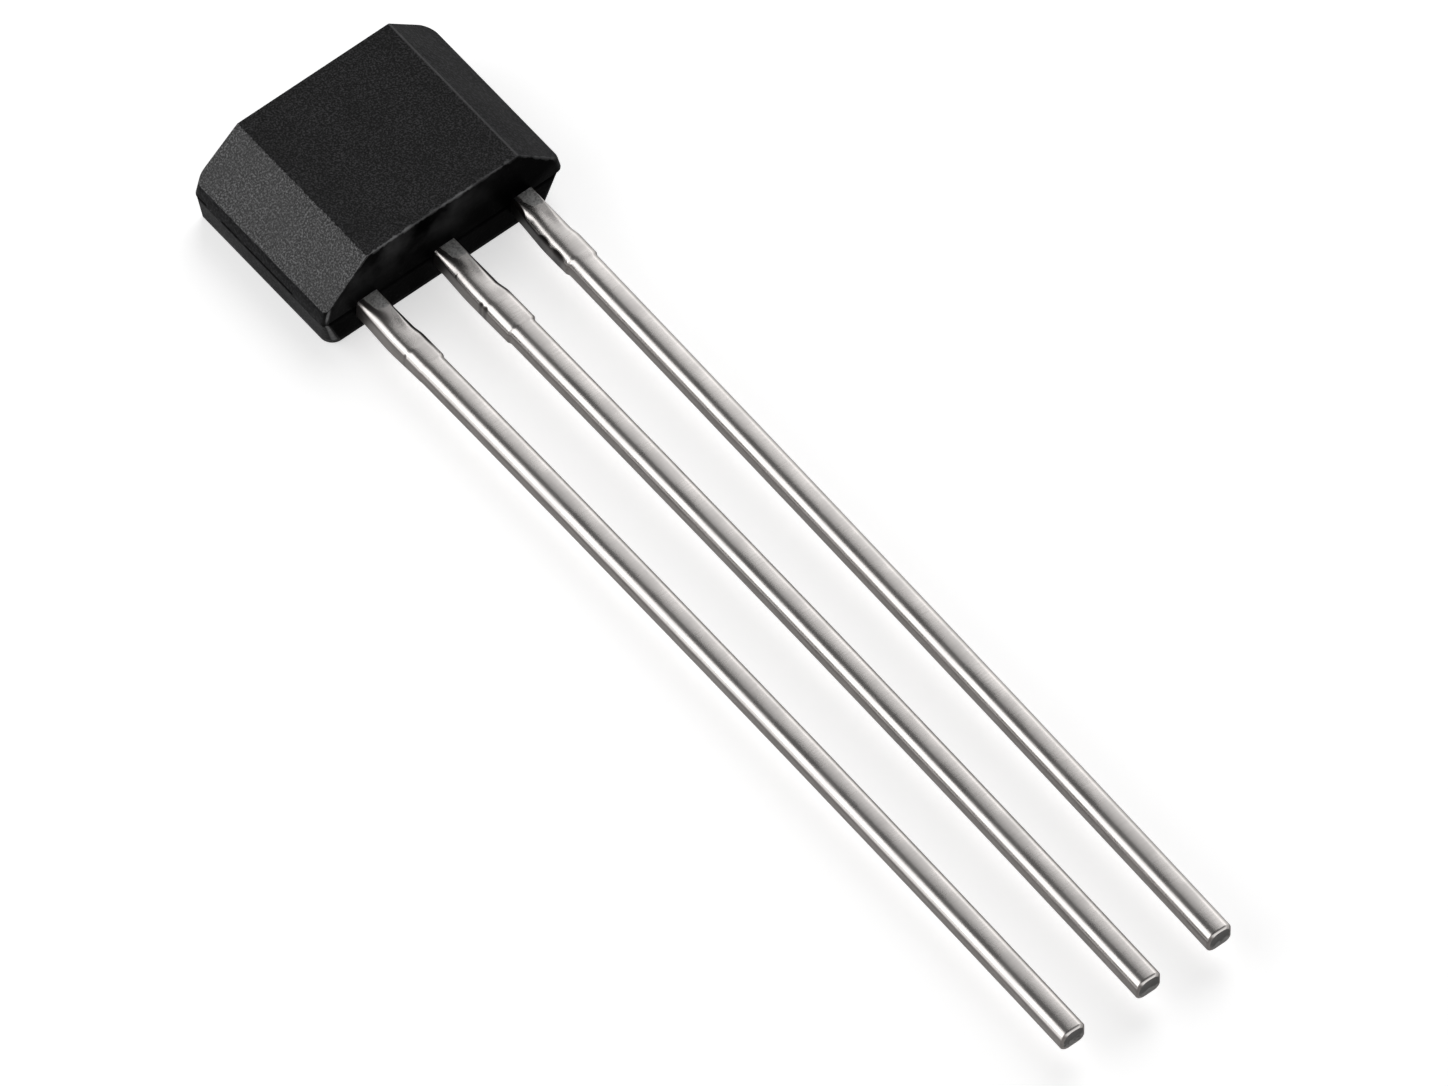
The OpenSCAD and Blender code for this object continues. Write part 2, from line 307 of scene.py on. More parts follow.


# Dark line painted along the parting of the mould, broken by gaps, and pale chipped spots
def makeSeamLine():
    look = seamLineLook
    group, given, out = newGroup("partingLine", (("Reach", 0.03),),
                                 (("DarkLine", "Float"), ("Chipped", "Float")))
    place = millimetres(group)
    height = addNode(group, "ShaderNodeSeparateXYZ", inputs={"Vector": place}).outputs["Z"]
    away = mathNode(group, "ABSOLUTE", mathNode(group, "SUBTRACT", height, parting))
    near = mathNode(group, "LESS_THAN", away, given["Reach"])
    along = millimetres(group, look["stretch"])
    dashes = rangeNode(group, noiseNode(group, along, *look["dashes"]), *look["dashReach"])
    chips = rangeNode(group, noiseNode(group, along, *look["chips"]), *look["chipReach"])
    group.links.new(mathNode(group, "MULTIPLY", near, dashes), out["DarkLine"])
    group.links.new(mathNode(group, "MULTIPLY", near, chips), out["Chipped"])
    return group


# Each finish has a dark and a pale colour, the size and depth of its grain, and its edge's wear,
# which is part wear and part painted highlight. The left bevel's far paler colour is painted light.
epoxyFinishes = {
    "sandedEpoxy": {
        "colors": ((0.002, 0.002, 0.0022), (0.041, 0.041, 0.043)),
        "roughness": 0.38,
        "reflect": 0.19,
        "grain": (40, 0.008),
        "wearAndHighlight": 1.0,
    },
    # Painted light: the left bevel's pale colour stands in for the light it catches from the left.
    "paintedLitBevelEpoxy": {
        "colors": ((0.004, 0.004, 0.004), (0.205, 0.205, 0.209)),
        "roughness": 0.38,
        "reflect": 0.32,
        "grain": (40, 0.007),
        "wearAndHighlight": 0.7,
    },
    "burnishedEpoxy": {
        "colors": ((0.009, 0.009, 0.0095), (0.028, 0.028, 0.030)),
        "roughness": 0.5,
        "reflect": 0.02,
        "grain": (24, 0.006),
        "wearAndHighlight": 0.6,
    },
    "sideEpoxy": {
        "colors": ((0.010, 0.010, 0.0105), (0.037, 0.037, 0.039)),
        "roughness": 0.55,
        "reflect": 0.02,
        "grain": (24, 0.004),
        "wearAndHighlight": 0.0,
    },
}
# What the finishes share: the colour and reach of the worn edge, part wear and part painted
# highlight, and what the cloud does to them
epoxyCommon = {
    "wornAndHighlightColor": (0.29, 0.29, 0.295),
    "wearAndHighlightReach": 0.035,
    "cloudReach": (0.3, 0.7),
    "cloudGain": (0.75, 1.25),
    "roughnessSwing": 0.05,
}


def makeEpoxy(name):
    look = epoxyFinishes[name]
    common = epoxyCommon
    material, tree, shader = newMaterial(name)
    scale, depth = look["grain"]
    grain = placeGroup(tree, grainGroup, Scale=scale, Depth=depth)
    clouded = rangeNode(tree, grain["Cloud"], *common["cloudReach"], *common["cloudGain"])
    fleck = mathNode(tree, "MULTIPLY", grain["Fleck"], clouded, clamp=True)
    base = mixColor(tree, fleck, *look["colors"])
    if look["wearAndHighlight"]:
        wearAndHighlight = placeGroup(tree, wearAndHighlightGroup, Reach=common["wearAndHighlightReach"], Amount=look["wearAndHighlight"])["WearAndHighlight"]
        # The pale worn edge is part wear and part painted highlight.
        base = mixColor(tree, wearAndHighlight, base, common["wornAndHighlightColor"])
    swing = common["roughnessSwing"]
    rough = rangeNode(tree, grain["Cloud"], *common["cloudReach"],
                      look["roughness"] - swing, look["roughness"] + swing)
    if name == "sideEpoxy":
        seam = placeGroup(tree, seamGroup, Reach=seamLineLook["reach"])
        base = mixColor(tree, seam["Chipped"], base, seamLineLook["chipColor"])
        base = mixColor(tree, seam["DarkLine"], base, seamLineLook["darkLineColor"])
        rough = mathNode(tree, "MAXIMUM", rough, seam["DarkLine"])
    tree.links.new(base, shader.inputs["Base Color"])
    tree.links.new(rough, shader.inputs["Roughness"])
    tree.links.new(grain["Normal"], shader.inputs["Normal"])
    shader.inputs["Specular IOR Level"].default_value = look["reflect"]
    return material


# The front face's pale haze is a painted sheen standing in for its reflections: it climbs toward
# the sensing face and thins toward the output side.
frontLook = {
    "color": (0.0008, 0.0008, 0.0009),
    "frontPaintedSheenColor": (0.10, 0.10, 0.102),
    "frontPaintedSheen": (1.6, 3.0, 0.5),
    "frontPaintedSheenReach": (0.32, 0.75),
    "frontPaintedSheenStart": 0.1,
    "frontPaintedSheenLeast": 0.1,
    "frontPaintedSheenFade": (-0.1, 1.0),
    "wearAndHighlight": 1.0,
    "wearAndHighlightReach": 0.045,
    "grain": (20, 0.004),
    "sheenRoughnessReach": (0.0, 0.6),
    "roughness": (0.35, 0.55),
    "reflect": 0.002,
}


def makeFront():
    look = frontLook
    material, tree, shader = newMaterial("frontEpoxy")
    place = millimetres(tree)
    axes = addNode(tree, "ShaderNodeSeparateXYZ", inputs={"Vector": place}).outputs
    # Painted sheen: pale patches, stronger toward the top and fainter toward the output side.
    frontPaintedSheen = rangeNode(tree, noiseNode(tree, place, *look["frontPaintedSheen"]), *look["frontPaintedSheenReach"])
    climb = rangeNode(tree, axes["Z"], parting + look["frontPaintedSheenStart"], topZ, look["frontPaintedSheenLeast"], 1.0)
    frontPaintedSheen = mathNode(tree, "MULTIPLY", frontPaintedSheen, climb)
    thinning = rangeNode(tree, axes["X"], *look["frontPaintedSheenFade"], 1.0, look["frontPaintedSheenLeast"])
    frontPaintedSheen = mathNode(tree, "MULTIPLY", frontPaintedSheen, thinning)
    base = mixColor(tree, frontPaintedSheen, look["color"], look["frontPaintedSheenColor"])
    wearAndHighlight = placeGroup(tree, wearAndHighlightGroup, Reach=look["wearAndHighlightReach"], Amount=look["wearAndHighlight"])["WearAndHighlight"]
    # The pale worn edge is part wear and part painted highlight.
    base = mixColor(tree, wearAndHighlight, base, epoxyCommon["wornAndHighlightColor"])
    tree.links.new(base, shader.inputs["Base Color"])
    scale, depth = look["grain"]
    grain = placeGroup(tree, grainGroup, Scale=scale, Depth=depth)
    rough = rangeNode(tree, frontPaintedSheen, *look["sheenRoughnessReach"], *look["roughness"])
    tree.links.new(rough, shader.inputs["Roughness"])
    tree.links.new(grain["Normal"], shader.inputs["Normal"])
    shader.inputs["Specular IOR Level"].default_value = look["reflect"]
    return material


# The near left corner has a painted highlight: its colour is palest where it faces the angle toward
# and dark beyond the spread.
cornerHighlightLook = {
    "toward": 64,
    "spread": 20,
    "colors": ((0.004, 0.004, 0.004), (0.30, 0.30, 0.303)),
    "grain": (18, 0.006),
    "fleckGain": (0.75, 1.0),
    "roughness": 0.4,
    "reflect": 0.02,
}


def makeCorner():
    look = cornerHighlightLook
    material, tree, shader = newMaterial("cornerPaintedHighlight")
    # Painted highlight: the base colour turns pale where the corner faces the angle toward.
    angle = math.radians(look["toward"])
    facing = addNode(tree, "ShaderNodeNewGeometry").outputs["Normal"]
    aim = addNode(tree, "ShaderNodeVectorMath", {"operation": "DOT_PRODUCT"}, {0: facing})
    aim.inputs[1].default_value = (-math.cos(angle), -math.sin(angle), 0)
    paintedHighlight = rangeNode(tree, aim.outputs["Value"], math.cos(math.radians(look["spread"])), 1.0)
    scale, depth = look["grain"]
    grain = placeGroup(tree, grainGroup, Scale=scale, Depth=depth)
    fleck = rangeNode(tree, grain["Fleck"], 0.0, 1.0, *look["fleckGain"])
    paintedHighlight = mathNode(tree, "MULTIPLY", paintedHighlight, fleck)
    tree.links.new(mixColor(tree, paintedHighlight, *look["colors"]), shader.inputs["Base Color"])
    tree.links.new(grain["Normal"], shader.inputs["Normal"])
    shader.inputs["Roughness"].default_value = look["roughness"]
    shader.inputs["Specular IOR Level"].default_value = look["reflect"]
    return material


grooveLook = {
    "stretch": (0.35, 1, 0.2),
    "dashes": (6, 3.0, 0.7),
    "dashReach": (0.54, 0.62),
    # The dark colour is painted shade in the groove, the pale one its dashes.
    "colors": ((0.0005, 0.0005, 0.0005), (0.07, 0.07, 0.072)),
    "roughness": 0.7,
}


# The groove under the parting line, near black with painted shade, with pale dashes
def makeGroove():
    look = grooveLook
    material, tree, shader = newMaterial("partingSeam")
    dash = noiseNode(tree, millimetres(tree, look["stretch"]), *look["dashes"])
    # Painted shade: the groove's near black stands in for the shade inside it.
    base = mixColor(tree, rangeNode(tree, dash, *look["dashReach"]), *look["colors"])
    tree.links.new(base, shader.inputs["Base Color"])
    shader.inputs["Roughness"].default_value = look["roughness"]
    shader.inputs["Specular IOR Level"].default_value = 0.0
    return material


grainGroup = makeGrain()
wearAndHighlightGroup = makeEdgeWearAndHighlight()
seamGroup = makeSeamLine()
packageMaterials = [makeEpoxy(name) for name in epoxyFinishes]
packageMaterials += [makeFront(), makeCorner(), makeGroove()]
finishIndex = {material.name: i for i, material in enumerate(packageMaterials)}
print("stage: epoxy made")


def cornerArcs(width, length, radii, steps):
    points = []
    for index, (sx, sy) in enumerate(((1, 1), (-1, 1), (-1, -1), (1, -1))):
        radius = radii[index]
        for i in range(steps + 1):
            a = math.radians(90 * (index + i / steps))
            points.append((sx * (width - radius) + radius * math.cos(a),
                           sy * (length - radius) + radius * math.sin(a)))
        if sx == sy:
            points += [(sx * faceHalf, sy * length), (-sx * faceHalf, sy * length)]
    return points


# A bevel looks up and outward, a level face up or down, and the turns are degrees round from -X.
finishBounds = {
    "bevelUp": 0.35,
    "bevelOut": 0.3,
    "levelUp": 0.5,
    "cornerTurn": (18, 88),
    "frontTurn": (20, 160),
    "slack": 0.0001,
}


# Which finish a face of the moulding has, from the way it looks out and its height. The left
# bevel's is painted light, the near left corner's a painted highlight, the groove's painted shade.
def faceFinish(face):
    form, bounds = packageForm, finishBounds
    out = face.normal
    heights = [vertex.co.z for vertex in face.verts]
    aboveGroove = min(heights) > parting - form["grooveHeight"] - bounds["slack"]
    if aboveGroove and max(heights) < parting + form["lipAbove"] + bounds["slack"]:
        return "partingSeam"
    if out.z > bounds["bevelUp"] and abs(out.x) > bounds["bevelOut"]:
        return "paintedLitBevelEpoxy" if out.x < 0 else "burnishedEpoxy"
    if abs(out.z) > bounds["levelUp"]:
        return "sandedEpoxy"
    turn = math.degrees(math.atan2(-out.y, -out.x))
    if bounds["cornerTurn"][0] < turn < bounds["cornerTurn"][1]:
        return "cornerPaintedHighlight"
    front = bounds["frontTurn"][0] < turn < bounds["frontTurn"][1]
    return "frontEpoxy" if front else "sideEpoxy"


ejectorMark = {"diameter": 1.0, "depth": 0.04, "turn": -1.4}


def makePackage():
    form = packageForm
    steps = form["cornerSteps"]

    def ring(height, width, length, radii):
        return [Vector((x, y, height)) for x, y in cornerArcs(width, length, radii, steps)]

    radii = (form["farRightRadius"], form["farLeftRadius"],
             form["nearLeftRadius"], form["nearRightRadius"])
    backRadii = (form["backFarRadius"], form["backFarRadius"],
                 form["backLeftRadius"], form["backRightRadius"])
    footRadii = (form["footFarRadius"], form["footFarRadius"],
                 form["footLeftRadius"], form["footRightRadius"])
    backWidth = bodyHigh.x - form["partingStep"]
    backLength = halfBody - form["partingStep"]
    footWidth = bodyHigh.x - parting * sideSlope
    footLength = backLength - parting * endSlope
    brokenRadii = [r - form["footBreak"] for r in footRadii]
    footRing = ring(0, footWidth - form["footBreak"], footLength - form["footBreak"], brokenRadii)
    rim = []
    for i in range(len(footRing)):
        a = math.radians(360 * i / len(footRing) + ejectorMark["turn"])
        rim.append(Vector((math.cos(a), math.sin(a), 0)) * ejectorMark["diameter"] / 2)
    rings = [[p + Vector((0, 0, ejectorMark["depth"])) for p in rim], rim, footRing]
    grooveLow = parting - form["grooveHeight"]
    for i in range(form["wallSteps"] + 1):
        z = form["footBreak"] + (grooveLow - form["footBreak"]) * i / form["wallSteps"]
        t = z / parting
        width = footWidth + (backWidth - footWidth) * t
        length = footLength + (backLength - footLength) * t
        between = [a + (b - a) * t for a, b in zip(footRadii, backRadii)]
        rings.append(ring(z, width, length, between))
    rings.append(ring(parting - form["grooveHeight"] / 2, backWidth - form["grooveDepth"],
                      backLength - form["grooveDepth"], backRadii))
    rings.append(ring(parting - form["lipBelow"], bodyHigh.x - form["lipIn"],
                      halfBody - form["lipIn"], radii))
    lower = ring(parting + form["lipAbove"], bodyHigh.x, halfBody, radii)
    upper = ring(topZ, bodyHigh.x - (topZ - parting) * sideSlope,
                 halfBody - (topZ - parting) * endSlope, radii)
    shoulder = []
    for low, high in zip(lower, upper):
        reach = 1.0
        if abs(low.x) > faceHalf + 1e-6:
            side = math.copysign(1, low.x)
            gap = faceHalf + topZ - low.z - side * low.x
            reach = gap / (side * (high.x - low.x) + high.z - low.z)
        shoulder.append(low.lerp(high, min(1.0, reach)))
    rings += [lower, shoulder]

    bm = bmesh.new()
    rows = skinRings(bm, rings, capEnd=False)
    edge = rows[-1]
    farCut = steps + 1
    nearCut = farCut + 3 + 2 * steps + 1
    bm.faces.new(edge[farCut + 1:nearCut + 1])
    bm.faces.new(edge[nearCut + 1:] + edge[:farCut + 1])
    bm.faces.new([edge[farCut], edge[farCut + 1], edge[nearCut], edge[nearCut + 1]])
    bmesh.ops.recalc_face_normals(bm, faces=bm.faces)
    corner = set(edge)
    sharp = [e for e in bm.edges if all(v in corner for v in e.verts)]
    bmesh.ops.bevel(bm, geom=sharp, offset=form["edgeRounding"], offset_type="OFFSET",
                    segments=form["roundingSteps"], profile=0.5, affect="EDGES", clamp_overlap=True)
    bm.normal_update()
    for face in bm.faces:
        face.material_index = finishIndex[faceFinish(face)]
    piece = finishMesh("moulding", bm, packageMaterials)
    weightNormals(piece)
    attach(piece, "root")
    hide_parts("package_body")


gateRemnant = {
    "width": 0.62,
    "height": 0.14,
    "stub": 0.03,
    "columns": 18,
    "rows": 6,
    "roughness": 0.012,
    "grainScale": 9,
    "grainPlace": 6.2,
}


def makeGate():
    form = gateRemnant
    columns, rows = form["columns"], form["rows"]
    border = [(i / columns, 0) for i in range(columns)] + [(1, j / rows) for j in range(rows)]
    border += [(1 - u, 1 - v) for u, v in border]
    rings = []
    for depth in range(3):
        y = bodyHigh.y - form["stub"] * (2 - depth)
        ring = []
        for u, v in border:
            x = form["width"] * (u - 0.5)
            z = parting - form["height"] * (1 - v)
            place = Vector((x * form["grainScale"], form["grainPlace"], z * form["grainScale"]))
            broken = abs(noise.noise(place)) if depth == 2 else 0
            ring.append(Vector((x, y - form["roughness"] * broken, z)))
        rings.append(ring)
    bm = bmesh.new()
    skinRings(bm, rings)
    piece = finishMesh("gateRemnant", bm, [bpy.data.materials["sideEpoxy"]], smooth=False)
    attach(piece, "root")


makePackage()
makeGate()
print("stage: package made")

# How a lead is painted, each a float attribute of its mesh that the tin's material reads. The side
# value gives the flanks, the right edge, the lower right and the tip's corner a darker colour,
# which is painted shade. The fourth value darkens them more: painted shade near the package and
# along the right rim, and scars in the scoops.
leadPaint = ("side", "matte", "dull", "shadeAndScar", "fillet")

tinLook = {
    "color": (0.71, 0.68, 0.66),
    "dullColor": (0.63, 0.605, 0.588),
    "patch": (2.0, 3.0, 0.55),
    "dullReach": (0.35, 0.7),
    "streakColor": (0.51, 0.485, 0.468),
    "streakStretch": (4, 45, 4),
    "streak": (1.0, 3.0, 0.6),
    "streakReach": (0.25, 0.6, 0.35, 0.0),
    # The side colours are painted shade on the flanks; the near black further down is painted shade
    # near the package and along the right rim, and scars in the scoops.
    "sideColors": ((0.175, 0.160, 0.152), (0.125, 0.115, 0.108)),
    "drawnStretch": (16, 2, 16),
    "drawn": (1.0, 3.0, 0.6),
    "drawnReach": (0.35, 0.7),
    "shadeAndScarColor": (0.012, 0.0095, 0.009),
    "matteColors": ((0.20, 0.20, 0.197), (0.40, 0.398, 0.392)),
    "speck": (26, 3.0, 0.7),
    "speckReach": (0.36, 0.6),
    "wobble": (9, 2.0, 0.55),
    "matteReach": (0.35, 0.65),
    "dullShare": 0.9,
    "roughness": (0.23, 0.31),
    "roughReach": (0.3, 0.7),
    "sideRoughness": 0.42,
    "matteRoughness": 0.6,
    "streakDepth": 0.0001,
}


def makeTin():
    look = tinLook
    material, tree, shader = newMaterial("dippedTin")
    place = millimetres(tree)
    side, matte, dull, shadeAndScar, fillet = [
        addNode(tree, "ShaderNodeAttribute", {"attribute_name": name}).outputs["Fac"]
        for name in leadPaint]
    patch = noiseNode(tree, place, *look["patch"])
    dulled = rangeNode(tree, patch, *look["dullReach"])
    base = mixColor(tree, dulled, look["color"], look["dullColor"])
    streak = noiseNode(tree, millimetres(tree, look["streakStretch"]), *look["streak"])
    streaked = rangeNode(tree, streak, *look["streakReach"])
    base = mixColor(tree, streaked, base, look["streakColor"])
    drawn = noiseNode(tree, millimetres(tree, look["drawnStretch"]), *look["drawn"])
    flank = mixColor(tree, rangeNode(tree, drawn, *look["drawnReach"]), *look["sideColors"])
    # Painted shade: the flanks take the darker side colour, darkest near the package and along the
    # right rim; the scoops' scars use the same near black.
    base = mixColor(tree, side, base, mixColor(tree, shadeAndScar, flank, look["shadeAndScarColor"]))
    speck = noiseNode(tree, place, *look["speck"])
    rubbed = mixColor(tree, rangeNode(tree, speck, *look["speckReach"]), *look["matteColors"])
    wobble = mathNode(tree, "SUBTRACT", noiseNode(tree, place, *look["wobble"]), 0.5)
    worn = rangeNode(tree, mathNode(tree, "ADD", matte, wobble), *look["matteReach"])
    tree.links.new(mixColor(tree, worn, base, rubbed), shader.inputs["Base Color"])
    scattered = mathNode(tree, "MAXIMUM", worn, mathNode(tree, "MULTIPLY", dull, look["dullShare"]))
    tree.links.new(mathNode(tree, "SUBTRACT", 1.0, scattered), shader.inputs["Metallic"])
    fine = rangeNode(tree, patch, *look["roughReach"], *look["roughness"])
    rough = mixColor(tree, side, fine, (look["sideRoughness"],) * 3)
    rough = mixColor(tree, worn, rough, (look["matteRoughness"],) * 3)
    tree.links.new(rough, shader.inputs["Roughness"])
    leaning = addNode(tree, "ShaderNodeVectorMath", {"operation": "SCALE"}, {"Scale": fillet})
    leaning.inputs[0].default_value = (0, -1, 0)
    facing = addNode(tree, "ShaderNodeNewGeometry").outputs["Normal"]
    inputs = {0: facing, 1: leaning.outputs[0]}
    tilted = addNode(tree, "ShaderNodeVectorMath", inputs=inputs)
    inputs = {0: tilted.outputs[0]}
    tilted = addNode(tree, "ShaderNodeVectorMath", {"operation": "NORMALIZE"}, inputs)
    inputs = {
        "Height": streak,
        "Distance": look["streakDepth"] * mm,
        "Normal": tilted.outputs[0],
    }
    bump = addNode(tree, "ShaderNodeBump", inputs=inputs)
    tree.links.new(bump.outputs["Normal"], shader.inputs["Normal"])
    return material


# The cut end is pale below the height of the split, whose line is ragged, and dished in its middle.
cutEndLook = {
    "color": (0.12, 0.116, 0.112),
    "lowColor": (0.36, 0.352, 0.345),
    "split": (0.43, 0.50),
    "ragged": (9, 2.0, 0.55),
    "raggedHeight": 0.25,
    "reflect": 0.1,
    "roughness": 0.45,
    "grain": (14, 3.0, 0.55),
    "grainDepth": 0.004,
    "dishInset": 0.2,
    "dishDepth": 0.004,
}


def makeCutEnd():
    look = cutEndLook
    material, tree, shader = newMaterial("cutEnd")
    place = millimetres(tree)
    height = addNode(tree, "ShaderNodeSeparateXYZ", inputs={"Vector": place}).outputs["Z"]
    ragged = mathNode(tree, "SUBTRACT", noiseNode(tree, place, *look["ragged"]), 0.5)
    ragged = mathNode(tree, "MULTIPLY", ragged, look["raggedHeight"])
    lower = rangeNode(tree, mathNode(tree, "ADD", height, ragged), *look["split"], 1.0, 0.0)
    base = mixColor(tree, lower, look["color"], look["lowColor"])
    tree.links.new(base, shader.inputs["Base Color"])
    shader.inputs["Specular IOR Level"].default_value = look["reflect"]
    shader.inputs["Roughness"].default_value = look["roughness"]
    bump = addBump(tree, noiseNode(tree, place, *look["grain"]), look["grainDepth"])
    tree.links.new(bump, shader.inputs["Normal"])
    return material


tinMaterial = makeTin()
cutMaterial = makeCutEnd()

leadStock = {
    "pitch": 1.27,
    "width": 0.33,
    "thickness": 0.33,
    "rise": 0.07,
    "tinSide": 0.031,
    "tinFace": 0.015,
    "tinBlend": 0.8,
    "edgeRadius": 0.012,
    "cornerRadius": 0.09,
    "runRadius": 0.145,
    "runBlend": 0.42,
    "exitRun": 0.05,
    "underRadius": 0.11,
    "underBlend": 1.5,
    "crown": 0.026,
    "crownPower": 1.6,
    "tipBreak": 0.036,
    "stubEnd": 0.06,
    "ripple": 0.0012,
    "rippleScales": (3, 1.7),
    "scoopSlope": 0.4,
    "underStart": 0.1,
    "flankTurn": 157,
    "matteLength": 0.27,
    "filletLean": 0.17,
    "shadeAndScarDent": 0.003,
    "shadeAndScarMost": 0.85,
    "cornerSteps": 16,
    "flatSteps": 8,
    "insideRun": 0.03,
    "nearStep": 0.012,
    "nearStations": 158,
    "farSteps": 110,
    "tipRun": 0.04,
    "tipShares": (1, 0.75, 0.5, 0.3, 0.15, 0.05, 0),
    "blankInset": 0.02,
    "postReach": 0.12,
    "postLength": 0.62,
    "postInset": 0.58,
    "paddleGap": 0.16,
    "paddleInset": 1.0,
    "paddleLength": 1.3,
    "lockDepth": 0.07,
    "lockLength": 0.16,
}

# Left and right are the stubs: start, length, height and ramp. Slim is how much smaller the radius
# of the left edge is, and where that ends. A scoop is its middle, length, climb round the corner
# and depth. The next is the strength of the painted shade on the left flank near the package, and
# where it ends. Fillet is the lead's share of the shading's lean, and rim its share of the painted
# shade on its right edge.
leads = [
    {
        "node": "lead_supply",
        "side": -1,
        "lean": -0.08,
        "bow": 0.048,
        "left": (0.30, 1.00, 0.005, 0.5),
        "right": (0.70, 0.58, 0.024, 0.2),
        "slim": (0.22, 0.98, 1.06),
        "scoops": [(1.01, 0.05, 14, 0.001)],
        "shadeAndScar": (0.25, 0.0, 0.5),
        "fillet": 0.4,
        "rim": 1.0,
    },
    {
        "node": "lead_ground",
        "side": 0,
        "lean": -0.112,
        "bow": 0.05,
        "left": (0.20, 1.34, 0.022, 1.2),
        "right": (0.84, 0.72, 0.033, 0.22),
        "slim": (0.12, 1.04, 1.14),
        "scoops": [(1.0, 0.09, 17, 0.002), (1.09, 0.1, 21, 0.002), (0.45, 0.03, 24, 0.001)],
        "shadeAndScar": (0.7, 0.1, 0.7),
        "fillet": 1.0,
        "rim": 1.0,
    },
    {
        "node": "lead_output",
        "side": 1,
        "lean": -0.222,
        "bow": 0.026,
        "left": (0.20, 0.98, 0.02, 0.9),
        "right": (0.76, 0.52, 0.024, 0.2),
        "slim": (0.0, 0.9, 1.0),
        "scoops": [(0.0, 0.62, 56, 0.0), (0.72, 0.26, 21, 0.003), (1.0, 0.32, 22, 0.003)],
        "shadeAndScar": (1.0, 0.55, 1.35),
        "fillet": 1.0,
        "rim": 0.3,
    },
]


def fade(start, end, value):
    return 1 - ease(start, end, value)


def stubHeight(stub, s):
    start, run, height, ramp = stub
    end = start + run
    return height * ease(start, start + ramp, s) * fade(end, end + leadStock["stubEnd"], s)


# Outline of a section as points and the way each looks, in degrees from the right over the top
def sectionOutline(left, right, tall, run, under, corner):
    stock = leadStock
    corners = [(right, tall, corner, 0), (left, tall, run, 90),
               (left, -tall, under, 180), (right, -tall, corner, 270)]
    outline = []
    for index, (x, z, r, turn) in enumerate(corners):
        cx = x - math.copysign(r, x)
        cz = z - math.copysign(r, z)
        for i in range(stock["cornerSteps"] + 1):
            angle = turn + 90 * i / stock["cornerSteps"]
            a = math.radians(angle)
            outline.append((cx + r * math.cos(a), cz + r * math.sin(a), angle))
        x0, z0, angle = outline[-1]
        nextX, nextZ, nextR, nextTurn = corners[(index + 1) % 4]
        a = math.radians(nextTurn)
        x1 = nextX - math.copysign(nextR, nextX) + nextR * math.cos(a)
        z1 = nextZ - math.copysign(nextR, nextZ) + nextR * math.sin(a)
        for i in range(1, stock["flatSteps"]):
            t = i / stock["flatSteps"]
            outline.append((x0 + (x1 - x0) * t, z0 + (z1 - z0) * t, angle))
    return outline


# Bands of paint: along the lead from the package, round the section in degrees, and across its top
paintBands = {
    "sideLeanEnd": (0.4, 1.1),
    "topLeanEnd": (0.4, 0.9),
    "rimStart": (0.15, 0.35),
    "rimEnd": (1.0, 1.35),
    "dullEnd": (0.25, 0.65),
    "matteEnd": (0.6, 1.4),
    "tipCut": (0.1, 0.4),
    "scoopSoft": (8, 6),
    "scoopFoot": (180, 200),
    "flankSoft": 5,
    "flankFoot": (205, 235),
    # Bands that place painted shade: the right side, its rim, the lower right and the tip's corner.
    "rightSide": (38, 58),
    "rightRim": (62, 88),
    "rimLeast": 0.6,
    "rightFoot": (305, 330),
    "tipCorner": (112, 135),
    "topStart": (62, 80),
    "topEnd": (100, 118),
    "leanStart": (98, 120),
    "leanSoft": 10,
    "matteAcross": (0.0, 0.35),
    "dullAcross": (0.1, 0.6),
    "leanAcross": (0.2, 0.6),
}


